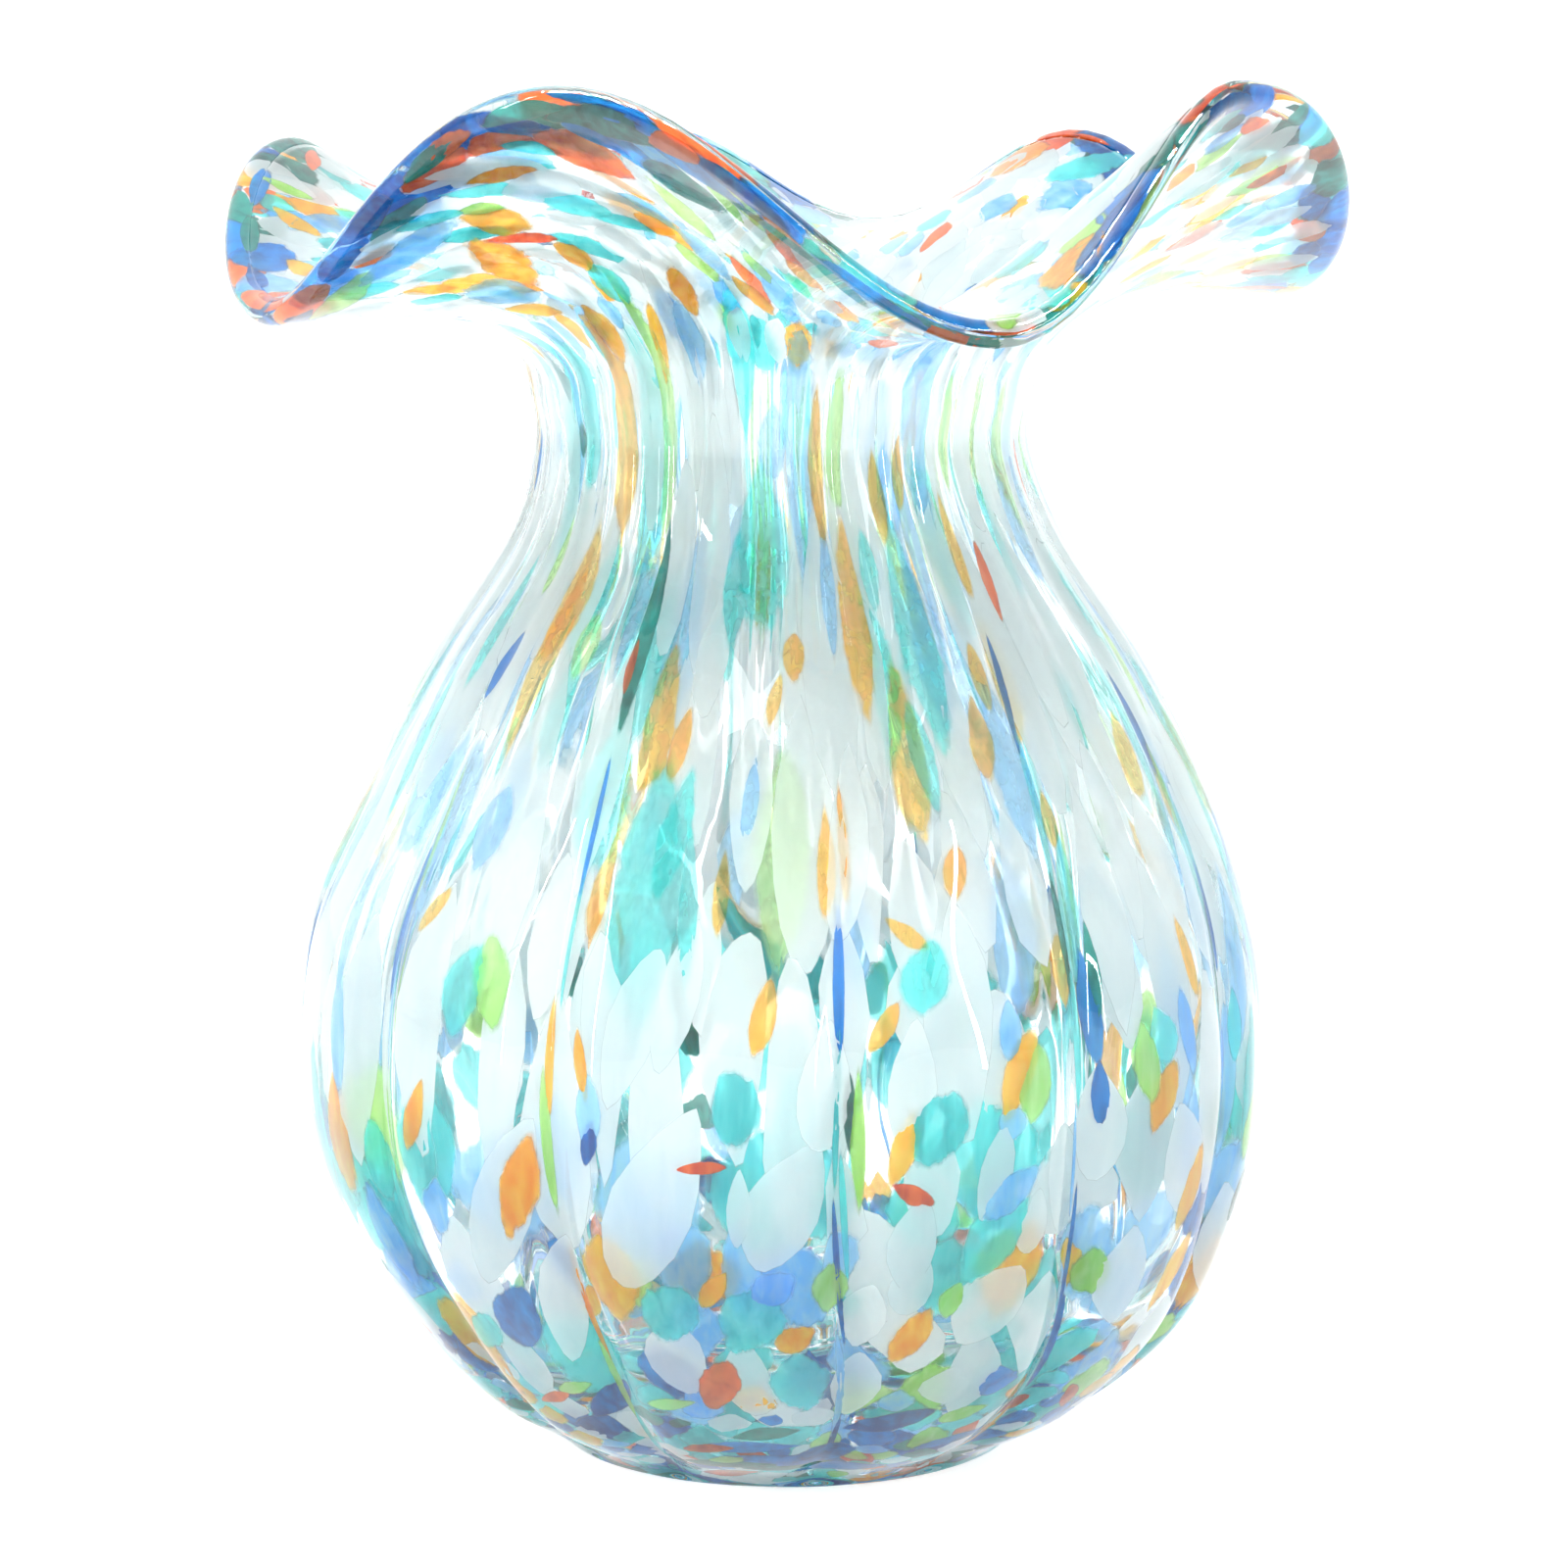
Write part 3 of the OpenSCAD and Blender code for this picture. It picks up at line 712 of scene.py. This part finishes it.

# The chips that stand out, by colour: angle from the front, mm up the wall, length and width in
# mm, and lean from upright in degrees. Some were read off the picture, and many follow an
# earlier list that a program had worked out from it.
BOLD = {
    W: [
        (-15, 75, 36, 14, 25), (0, 75, 25, 12, 25), (5, 95, 22, 9, 5), (-5, 75, 14, 4, 5),
        (-30, 55, 28, 8, 15), (-35, 72, 35, 11, 25), (15, 95, 22, 8, 5), (15, 68, 18, 8, 10),
        (25, 80, 18, 6, 15), (30, 70, 12, 6, 10), (40, 85, 20, 10, 0), (25, 55, 18, 13, 35),
        (15, 60, 12, 7, 20), (9, 54, 14, 8, 15), (8, 38, 17, 9, 5), (46, 56, 20, 12, 0),
        (55, 75, 22, 13, -15), (73, 55, 24, 12, -15), (-5, 143, 30, 7, 0), (8, 135, 34, 7, 5),
        (-17, 105, 28, 9, 15), (-12, 110, 26, 7, 10), (-27, 255, 14, 8, -70),
        (-43, 251, 12, 8, -30), (-22, 240, 10, 7, -40), (47, 270, 10, 6, 0), (22, 270, 9, 4, -80)],
    T: [
        (-5, 187, 28, 8, 0), (-10, 180, 20, 4, 0), (-15, 137, 22, 5, 8), (-12, 125, 25, 3, -5),
        (17, 113, 12, 8, 15), (20, 150, 20, 4, -5), (17, 183, 14, 3, 0), (38, 122, 25, 4, 5),
        (-5, 92, 12, 8, 0), (-15, 55, 12, 9, 30), (-5, 54, 14, 10, 30), (0, 40, 13, 9, 0),
        (18, 88, 12, 9, 30), (25, 68, 18, 9, 35), (-46, 45, 10, 6, 40), (-40, 108, 15, 8, 10),
        (50, 98, 10, 7, -20), (70, 95, 12, 4, 0), (-80, 128, 14, 4, 0), (-25, 250, 12, 5, -55),
        (-20, 245, 10, 3, -70), (-40, 263, 12, 3, -50), (-25, 264, 10, 3, -60),
        (-28, 232, 10, 5, -10), (30, 270, 8, 5, 0), (64, 258, 8, 4, 35), (62, 252, 8, 4, 30),
        (92, 268, 10, 8, 50), (140, 264, 18, 6, -25), (-115, 262, 9, 5, 0),
        (-80, 104, 46, 5, 0), (-72, 74, 34, 6, 0), (-86, 128, 40, 5, 0), (78, 118, 40, 5, 0),
        (84, 92, 42, 6, 0), (74, 84, 26, 5, 5), (80, 146, 30, 5, 0), (-68, 146, 26, 4, 0),
        (-83, 150, 30, 5, 0), (-62, 170, 24, 3, 0), (62, 150, 30, 3, 0), (66, 128, 34, 4, 0),
        (70, 172, 26, 3, 0), (88, 132, 36, 5, 0), (-90, 70, 30, 6, 0), (88, 70, 30, 7, 0)],
    S: [
        (-2, 204, 12, 4, 0), (8, 180, 24, 2.5, 0), (25, 196, 14, 3, 0), (-43, 135, 15, 7, 5),
        (-65, 115, 25, 4, 0), (60, 188, 20, 3, 0), (-5, 143, 14, 3, 5), (-45, 70, 10, 6, 10),
        (-2, 60, 9, 6, 45), (27, 76, 12, 6, 50), (27, 103, 10, 4, 0), (27, 88, 6, 5, 0),
        (55, 98, 14, 4, -10), (-22, 90, 12, 4, 0), (-45, 262, 20, 6, -70), (-46, 240, 14, 8, -35),
        (-10, 241, 12, 4, -30), (-18, 220, 14, 4, 0), (82, 260, 16, 11, 0), (78, 268, 5, 4, 0),
        (70, 259, 7, 4, 20), (-92, 258, 14, 6, 40),
        (-76, 134, 34, 5, 0), (-84, 80, 30, 6, 0), (72, 106, 30, 6, 5), (82, 66, 24, 7, 0),
        (-64, 96, 22, 5, -5), (-70, 160, 30, 3, 0), (-80, 176, 22, 3, 0), (76, 164, 28, 3, 0),
        (68, 86, 26, 6, 0), (-60, 60, 20, 6, 0), (86, 160, 24, 4, 0)],
    C: [
        (-55, 163, 12, 3, 10), (37, 160, 20, 1.5, 5), (-85, 198, 10, 2, 0), (65, 150, 18, 2.5, 0),
        (39, 105, 18, 4, -5), (40, 90, 10, 3, 0), (-38, 50, 14, 8, 30), (-22, 85, 7, 2.5, 10),
        (-30, 31, 13, 5, 40), (5, 15, 13, 8, 60), (-3, 15, 18, 4, 90), (-8, 20, 14, 4, 85),
        (15, 28, 14, 5, 65), (28, 20, 12, 3, 70), (11, 8, 13, 5, 75), (38, 15, 10, 6, 80),
        (-8, 269, 14, 6, -80), (-18, 266, 10, 3, -60), (32, 271, 8, 4, 0), (-95, 271, 14, 3, 90),
        (-75, 271, 12, 3, 90), (-60, 271, 9, 3, 90),
        (-88, 98, 26, 4, 0), (86, 120, 26, 4, 0), (80, 104, 22, 3, 0), (-82, 116, 20, 3, 0),
        (84, 60, 16, 4, 0), (-78, 54, 14, 4, 0), (-14, 271.5, 17, 3.5, 90),
        (-3, 272, 15, 3.5, 90), (8, 271, 17, 4, 90), (34, 272, 10, 3.5, 90),
        (48, 272, 12, 3.5, 90)],
    A: [
        (-45, 177, 25, 6, 0), (8, 200, 25, 2.5, 0), (22, 195, 15, 2.5, 0), (28, 199, 12, 2, 5),
        (38, 186, 18, 2.5, 0), (1, 168, 9, 3.5, 0), (-2, 160, 9, 2, 10), (-16, 152, 12, 3, 8),
        (30, 152, 15, 4, 5), (33, 163, 12, 2.5, 0), (5, 132, 18, 3, 0), (-8, 127, 14, 2.5, 0),
        (22, 130, 9, 4, 10), (15, 120, 8, 3, -50), (58, 145, 16, 5, 8), (65, 138, 14, 3, 5),
        (38, 137, 10, 3, 0), (57, 110, 14, 3, -10), (-48, 120, 9, 3, 30), (35, 112, 12, 4, 0),
        (-32, 76, 18, 6, 18), (-47, 85, 12, 4, 20), (-2, 107, 12, 4, 10), (15, 50, 12, 5, 28),
        (14, 85, 13, 4, 18), (28, 96, 15, 5, 20), (50, 88, 12, 6, 28), (57, 70, 15, 5, 15),
        (57, 54, 15, 5, 25), (0, 50, 7, 5, 55), (-9, 60, 8, 3.5, 35), (12, 105, 9, 3, 30),
        (-23, 98, 11, 2, -10), (-26, 55, 8, 4, 30), (-35, 253, 12, 6, -35), (-40, 245, 16, 8, 0),
        (-30, 239, 9, 4, -20), (-46, 232, 10, 4, -50), (-16, 230, 10, 4, -5), (-4, 234, 9, 4, -40),
        (-16, 245, 6, 4, -55), (-30, 261, 12, 3, -70), (-25, 220, 14, 2, 10), (27, 271, 7, 4, 60),
        (72, 252, 12, 7, -10), (95, 255, 14, 6, -30), (85, 248, 9, 4, -10), (75, 260, 6, 2.5, 20),
        (130, 235, 12, 3, 40), (-90, 263, 10, 4, -30), (-78, 262, 9, 5, -55)],
    R: [
        (-27, 165, 9, 1.5, 0), (75, 197, 10, 1.5, 10), (44, 180, 13, 2, 5), (-9, 82, 8, 2, 85),
        (-11, 39, 12, 6, 20), (15, 77, 7, 3, -60), (-70, 40, 8, 3, -40), (38, 27, 6, 4, 45),
        (48, 28, 8, 3, -30), (-15, 19, 8, 3, 80), (-13, 5, 9, 4, 70), (-40, 30, 8, 2.5, 60),
        (-46, 3, 6, 3, 65), (32, 4, 7, 4, 45), (-20, 262, 15, 8, -52), (-33, 272, 12, 3, 90),
        (-10, 271, 8, 4, 75), (0, 270, 10, 4, -60), (15, 271, 10, 3, 90), (40, 269, 9, 4, 0),
        (61, 267, 8, 6, 30), (74, 266, 4, 3, 0), (85, 266, 9, 2.5, 75), (143, 272, 9, 2, 90),
        (-108, 267, 10, 3, -65)],
    L: [
        (62, 200, 25, 4, 0), (42, 205, 18, 2.5, 0), (-55, 183, 14, 2.5, 0), (-36, 110, 15, 7, -12),
        (-37, 168, 12, 4, 0), (30, 94, 12, 6, 8), (47, 94, 13, 6, -10), (9, 86, 22, 2.5, 0),
        (41, 58, 9, 7, 0), (5, 60, 9, 6, 10), (20, 57, 7, 4, 22), (-19, 33, 8, 3, 75),
        (26, 29, 8, 4, 68), (75, 76, 12, 5, 15), (-35, 34, 7, 3, 65), (-12, 14, 7, 4, 65),
        (-11, 252, 13, 4, -35), (-55, 267, 18, 6, -80), (38, 268, 10, 8, 0), (71, 265, 5, 3, 0),
        (-35, 257, 8, 3, -50), (-97, 266, 9, 3, 0)],
    B: [
        (-55, 203, 5, 3, -5), (-26, 172, 34, 2.5, 0), (40, 110, 16, 2.5, 0), (-70, 47, 10, 2.5, -5),
        (-5, 25, 10, 4, 75), (0, 10, 14, 4, 90), (-12, 12, 14, 4, 85), (8, 91, 12, 2, 0),
        (75, 62, 12, 4, 15), (-16, 270, 18, 6, 90), (-10, 261, 12, 8, -85), (5, 268, 14, 6, -45),
        (50, 270, 9, 4, 20), (-85, 271, 12, 3, 90), (-24, 272, 14, 3, 90), (1, 268, 18, 4, 80),
        (13, 272, 15, 4, 90), (20, 271, 17, 4.5, 90), (27, 272, 13, 4, 90), (-34, 272, 12, 3, 90),
        (42, 272, 12, 4, 90)],
}
# Round the inside of the flare the bold chips lie near its inner face, elsewhere near the outer
INSIDE_FROM_S = 225
OUTER_ANGLES = (-64, 50)


def cell_outlines(x, y, weight, around):
    """Radius of each cell in every direction: half way to its neighbours, corners rounded."""
    dx = np.mod(x[None] - x[:, None] + around / 2, around) - around / 2
    dy = y[None] - y[:, None]
    far = dx ** 2 + dy ** 2
    np.fill_diagonal(far, 1e6)
    near = np.argsort(far, axis=1)[:, :NEIGHBOURS]
    row = np.arange(len(x))[:, None]
    far, dx, dy = far[row, near], dx[row, near], dy[row, near]
    half_way = (far + weight[:, None] - weight[near]) / (2 * np.sqrt(far))
    half_way = np.clip(half_way, CELL_MIN, CELL_MAX)[..., None]
    toward = np.arctan2(dy, dx)[..., None]
    facing = np.maximum(np.cos(TURN - toward), 0) / half_way
    return np.minimum((facing ** CORNER_ROUND).sum(1) ** (-1 / CORNER_ROUND), CELL_MAX)


def uneven_outline(pick):
    """Shares of the size of a chip in every direction, a little uneven."""
    return 1 + CHIP_WOBBLE * np.sin(3 * TURN + pick.uniform(0, ANY_PHASE))


def petal(points_up, blunt_top, blunt_bottom):
    """How much narrower a chip is than its cell towards its two ends."""
    reach = np.abs(points_up) / np.abs(points_up).max()
    blunt = np.where(points_up > 0, blunt_top, blunt_bottom)
    return 1 - (1 - blunt) * reach ** 2


def swirl(phi, s):
    """Lean of the chips where the front of the flare was swung round."""
    turn = math.radians(phi - SWIRL_AT)
    rise = min(1.0, max(0.0, (s - SWIRL_FROM) / SWIRL_RISE))
    return SWIRL_LEAN * max(0.0, math.cos(turn)) ** 6 * rise


def bold_depth(phi, s):
    """Depth of a striking chip: near the face of the wall that the front view sees."""
    on_front = OUTER_ANGLES[0] < (phi + 180) % 360 - 180 < OUTER_ANGLES[1]
    return INNER_DEPTH if s > INSIDE_FROM_S and not on_front else OUTER_DEPTH


def round_at(phi, s):
    """Millimetres in one degree round the wall."""
    p = in_layer(np.array([phi], float), np.array([s], float), np.array([FRONT_DEPTH]))[0]
    return max(math.hypot(p[0], p[1]), SMALLEST_ROUND) * math.pi / 180


def covered(phi, s, depth):
    """Whether a bold chip already lies over this spot on the same side of the layer."""
    for row in BOLD_ROWS:
        across = ((phi - row[0] + 180) % 360 - 180) * row[5]
        along = s - row[1]
        far_off = abs(across) > LONGEST_REACH or abs(along) > LONGEST_REACH
        if far_off or (row[6] < FRONT_DEPTH) != (depth < MID_DEPTH):
            continue
        c, d = math.cos(row[4]), math.sin(row[4])
        long_way, wide_way = along * c + across * d, across * c - along * d
        if (long_way / row[2] * 2) ** 2 + (wide_way / row[3] * 2) ** 2 < 1:
            return True
    return False


BOLD_ROWS = [(phi, s, length, width, math.radians(lean), round_at(phi, s), bold_depth(phi, s))
             for rows in BOLD.values() for phi, s, length, width, lean in rows]


def add_bold(pick):
    """Places the chips that stand out, each a petal with slightly uneven sides."""
    for colour, rows in BOLD.items():
        for phi, s, length, width, lean in rows:
            wobble = uneven_outline(pick)
            along = np.sin(TURN) * wobble * length / 2
            across = np.cos(TURN) * wobble * width / 2
            across = across * petal(along, pick.uniform(0.3, 0.7), pick.uniform(0.5, 0.9))
            if colour != W:
                along, across = along * SOFT_EXTRA, across * SOFT_EXTRA
            c, d = math.cos(math.radians(lean)), math.sin(math.radians(lean))
            across, along = across * c + along * d, along * c - across * d
            depth = bold_depth(phi, s) + pick.uniform(-0.06, 0.06)
            flakes[colour].append(flake(phi, s, across / round_at(phi, s), along, depth))


def add_threads(pick):
    """Threads of colour drawn out along the creases, where the mould pinched the chips."""
    for angle in CREASES:
        for s in np.arange(THREADS_FROM, THREADS_TO, THREAD_STEP):
            colour = pick.choice([T, S, C, L, A, B], p=THREAD_SHARES)
            along = np.sin(TURN) * pick.uniform(0.5, 0.9) * THREAD_STEP
            across = np.cos(TURN) * pick.uniform(0.5, 1.1) + along * pick.uniform(-0.04, 0.04)
            phi = angle + pick.uniform(-1.2, 1.2)
            place = s + pick.uniform(-0.3, 0.3) * THREAD_STEP
            depth = OUTER_DEPTH - THREAD_RISE
            flakes[colour].append(flake(phi, place, across / round_at(phi, place), along, depth))


def fill_belt(belt, pick):
    """Covers a belt of the wall with a staggered, uneven mosaic of chips."""
    start, stop, rows, around, gaps, shares, fill, depth = belt
    weights = np.array(shares, float) / sum(shares)
    i, j = [a.ravel() for a in np.mgrid[0:rows, 0:around]]
    x = j + 0.5 * (i % 2) + pick.uniform(-0.3, 0.3, i.shape)
    y = i + 0.5 + pick.uniform(-0.4, 0.4, i.shape)
    radius = cell_outlines(x, y, pick.uniform(-0.3, 0.3, i.shape), around)
    step = (stop - start) / rows
    for k in range(len(x)):
        phi, s = x[k] * 360 / around, start + y[k] * step
        colour = pick.choice(len(COLOURS), p=weights)
        size = pick.uniform(*fill) * (1.0 if colour == W else pick.uniform(0.8, 1.2))
        wobble = uneven_outline(pick)
        reach = radius[k] * size * wobble
        along = reach * np.sin(TURN) * step * pick.uniform(1.0, 1.3)
        narrow = petal(along, pick.uniform(0.1, 0.6), pick.uniform(0.4, 0.9))
        across = reach * np.cos(TURN) * narrow * 360 / around
        across = across + along * math.tan(math.radians(swirl(phi, s))) / round_at(phi, s)
        own_depth = depth + pick.uniform(-0.15, 0.15)
        if pick.uniform() > gaps and not covered(phi, s, depth):
            flakes[colour].append(flake(phi, s, across, along, own_depth))


def build_flakes(index, material):
    """All chips of one colour as one piece, each a closed solid."""
    points, faces = [], []
    for k, p in enumerate(flakes[index]):
        base = k * len(p)
        points.append(p)
        faces += [tuple(v + base for v in f) for f in FLAKE_FACES]
    piece = mesh_object(COLOURS[index] + "_flakes", np.vstack(points), faces, [material])
    # A sharp rim keeps the two faces of a chip shaded as flat sheets, with no dark outline
    ends = np.empty(len(piece.data.edges) * 2, dtype=np.int32)
    piece.data.edges.foreach_get("vertices", ends)
    on_rim = (ends.reshape(-1, 2) % len(FLAKE_CORE) < OUTLINE).all(1)
    piece.data.edges.foreach_set("use_edge_sharp", on_rim)
    core = piece.data.attributes.new("core", "FLOAT", "POINT")
    core.data.foreach_set("value", np.tile(FLAKE_CORE, len(points)).astype(np.float32))
    return piece


# For each colour: its shades, the tint of light straight through it, how far in from the rim the
# colour starts, how clear its middle is where it is thick and where it was blown thin, the
# shade it pales towards there and how far (for the opal white partly painted light, lifting
# the upper body and shoulder, which get less light), and how streaky it is
PALE = (0.93, 0.98, 0.98)
WARM_PALE = (1.0, 0.93, 0.82)
SHADES = {
    # The opal white's brighter thin shade is partly painted light on the upper body and shoulder
    "opal_white": ([(0.2, (0.68, 0.77, 0.79)), (0.8, (0.87, 0.90, 0.905))],
                   (0.97, 1.0, 1.0), 0.04, 0.02, 0.2, (0.98, 0.985, 0.98), 0.7, 0.08),
    "turquoise": ([(0.2, (0.01, 0.46, 0.49)), (0.8, (0.12, 0.85, 0.85))],
                  (0.4, 0.95, 0.92), 0.45, 0.2, 0.68, PALE, 0.35, 0.25),
    "sky_blue": ([(0.2, (0.12, 0.44, 0.88)), (0.8, (0.40, 0.74, 0.98))],
                 (0.62, 0.82, 1.0), 0.45, 0.2, 0.65, PALE, 0.35, 0.25),
    "cobalt_blue": ([(0.2, (0.002, 0.07, 0.28)), (0.8, (0.01, 0.27, 0.68))],
                    (0.1, 0.38, 0.95), 0.3, 0.05, 0.35, PALE, 0.15, 0.25),
    "amber": ([(0.2, (0.84, 0.28, 0.005)), (0.8, (0.97, 0.55, 0.05))],
              (1.0, 0.72, 0.3), 0.45, 0.08, 0.68, WARM_PALE, 0.25, 0.25),
    "coral_red": ([(0.2, (0.55, 0.05, 0.012)), (0.8, (0.9, 0.18, 0.04))],
                  (0.95, 0.38, 0.24), 0.3, 0.05, 0.2, PALE, 0.1, 0.25),
    "lime_green": ([(0.2, (0.26, 0.60, 0.07)), (0.8, (0.58, 0.86, 0.28))],
                   (0.8, 0.98, 0.55), 0.45, 0.15, 0.62, PALE, 0.35, 0.25),
    "bottle_green": ([(0.2, (0.006, 0.10, 0.09)), (0.8, (0.03, 0.32, 0.27))],
                     (0.15, 0.65, 0.55), 0.3, 0.05, 0.2, PALE, 0.1, 0.25),
}

fused = fused_face("fused_glass_face")
casing_glass = clear_glass("clear_casing_glass", (0.935, 0.985, 0.99), (0.965, 0.995, 0.997))
casing = build_casing(casing_glass, fused)
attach(casing, "root")
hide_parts("outer_casing")

gather_glass = clear_glass("clear_gather_glass", (0.98, 0.998, 0.996), (0.995, 1.0, 1.0))
gather = build_gather(gather_glass, fused)
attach(gather, "root")
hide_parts("inner_gather")

add_bold(np.random.default_rng(99))
add_threads(np.random.default_rng(98))
for number, belt in enumerate(BELTS):
    fill_belt(belt, np.random.default_rng(100 + number))
for index, colour in enumerate(COLOURS):
    piece = build_flakes(index, chip_glass(colour + "_glass", *SHADES[colour]))
    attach(piece, "root")
    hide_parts(colour + "_chips")


# ---------------------------------------------------------------- floor, light and camera
FLOOR_RADIUS = 30.0
# The floor lies this far below the base, in metres
FLOOR_DROP = 0.0002
FLOOR_GLOW = 0.75
WORLD_LIGHT = 1.56
FRONT_LIGHT = 0.6
# Where the world turns from its front strength to its back strength, on a ball of radius 1
WORLD_TURNS = (-0.7, 0.6)
# All the lamps point here
AIM = (0, 0, 0.15)
# Two rows of small lamps, which only draw highlights along the lip: their y, and the rest
LAMP_ROWS = (-0.35, -0.24)
LAMPS_IN_ROW = 9
LAMP_X = -0.65
LAMP_STEP = 0.125
LAMP_Z = 1.15
LAMP_SIZE = (0.06, 0.04)
LAMP_POWER = 6.0
TUBE_SIZE = (0.02, 0.9)
TUBE_POWER = 2.5


def build_floor():
    """A wide pale floor that glows a little, so that the picture's ground is white."""
    bpy.ops.mesh.primitive_circle_add(vertices=96, radius=FLOOR_RADIUS, fill_type="NGON")
    floor = bpy.context.object
    floor.name = "studio_floor"
    m, nodes, links = new_material("pale_floor")
    shade = nodes.new("ShaderNodeBsdfPrincipled")
    shade.inputs["Base Color"].default_value = (0.5, 0.5, 0.5, 1.0)
    shade.inputs["Roughness"].default_value = 1.0
    shade.inputs["Specular IOR Level"].default_value = 0.0
    shade.inputs["Emission Color"].default_value = (1.0, 1.0, 1.0, 1.0)
    shade.inputs["Emission Strength"].default_value = FLOOR_GLOW
    out = nodes.new("ShaderNodeOutputMaterial")
    links.new(shade.outputs["BSDF"], out.inputs["Surface"])
    floor.data.materials.append(m)
    floor.location.z = casing_lo[2] - FLOOR_DROP


def studio_light(name, location, size, power, highlight_only=False):
    """A rectangular lamp turned towards the vase."""
    data = bpy.data.lights.new(name, "AREA")
    data.shape = "RECTANGLE"
    data.size, data.size_y = size
    data.energy = power
    light = bpy.data.objects.new(name, data)
    scene.collection.objects.link(light)
    light.location = location
    aim = Vector(AIM) - Vector(location)
    light.rotation_euler = aim.to_track_quat("-Z", "Y").to_euler()
    light.visible_diffuse = not highlight_only
    light.visible_transmission = not highlight_only
    light.visible_glossy = highlight_only


def build_world():
    """A white studio, dimmer on the camera's side, which draws the edges of the glass."""
    world = bpy.data.worlds.new("white_studio")
    world.use_nodes = True
    scene.world = world
    nodes, links = world.node_tree.nodes, world.node_tree.links
    split = nodes.new("ShaderNodeSeparateXYZ")
    links.new(nodes.new("ShaderNodeTexCoord").outputs["Generated"], split.inputs["Vector"])
    strength = range_node(nodes, links, split.outputs["Y"], *WORLD_TURNS, FRONT_LIGHT, WORLD_LIGHT)
    links.new(strength, nodes["Background"].inputs["Strength"])
    nodes["Background"].inputs["Color"].default_value = (1.0, 1.0, 1.0, 1.0)


build_floor()
build_world()
studio_light("left_softbox", (-1.1, -0.9, 0.9), (0.7, 0.9), 33.0)
studio_light("right_softbox", (1.2, -0.7, 0.9), (0.5, 0.9), 26.0)
studio_light("top_softbox", (0.0, -0.6, 1.2), (0.9, 0.5), 26.0)
for row, y in enumerate(LAMP_ROWS):
    for k in range(LAMPS_IN_ROW):
        studio_light(f"lamp_{row}_{k}", (LAMP_X + LAMP_STEP * k, y, LAMP_Z), LAMP_SIZE,
                     LAMP_POWER, highlight_only=True)
studio_light("side_tube", (0.75, -0.75, 0.35), TUBE_SIZE, TUBE_POWER, highlight_only=True)
studio_light("left_tube", (-0.8, -0.6, 0.3), TUBE_SIZE, TUBE_POWER, highlight_only=True)

# The camera: metres to the right, back and up, degrees down, and its lens and sensor in mm
CAMERA_RIGHT = -0.0005
CAMERA_BACK = 0.9
CAMERA_UP = 0.255
CAMERA_PITCH = 8.9
LENS = 120.9
SENSOR = 36.0
camera_data = bpy.data.cameras.new("camera")
camera_data.lens = LENS
camera_data.sensor_width = SENSOR
camera = bpy.data.objects.new("camera", camera_data)
scene.collection.objects.link(camera)
camera.location = (CAMERA_RIGHT, -CAMERA_BACK, CAMERA_UP)
camera.rotation_euler = (math.radians(90 - CAMERA_PITCH), 0, 0)
scene.camera = camera

scene.view_settings.view_transform = "Standard"
scene.cycles.max_bounces = 24
scene.cycles.transmission_bounces = 20
scene.cycles.diffuse_bounces = 10
scene.cycles.glossy_bounces = 6
scene.cycles.transparent_max_bounces = 48
scene.cycles.sample_clamp_indirect = 6.0
scene.cycles.caustics_refractive = True
scene.cycles.caustics_reflective = True
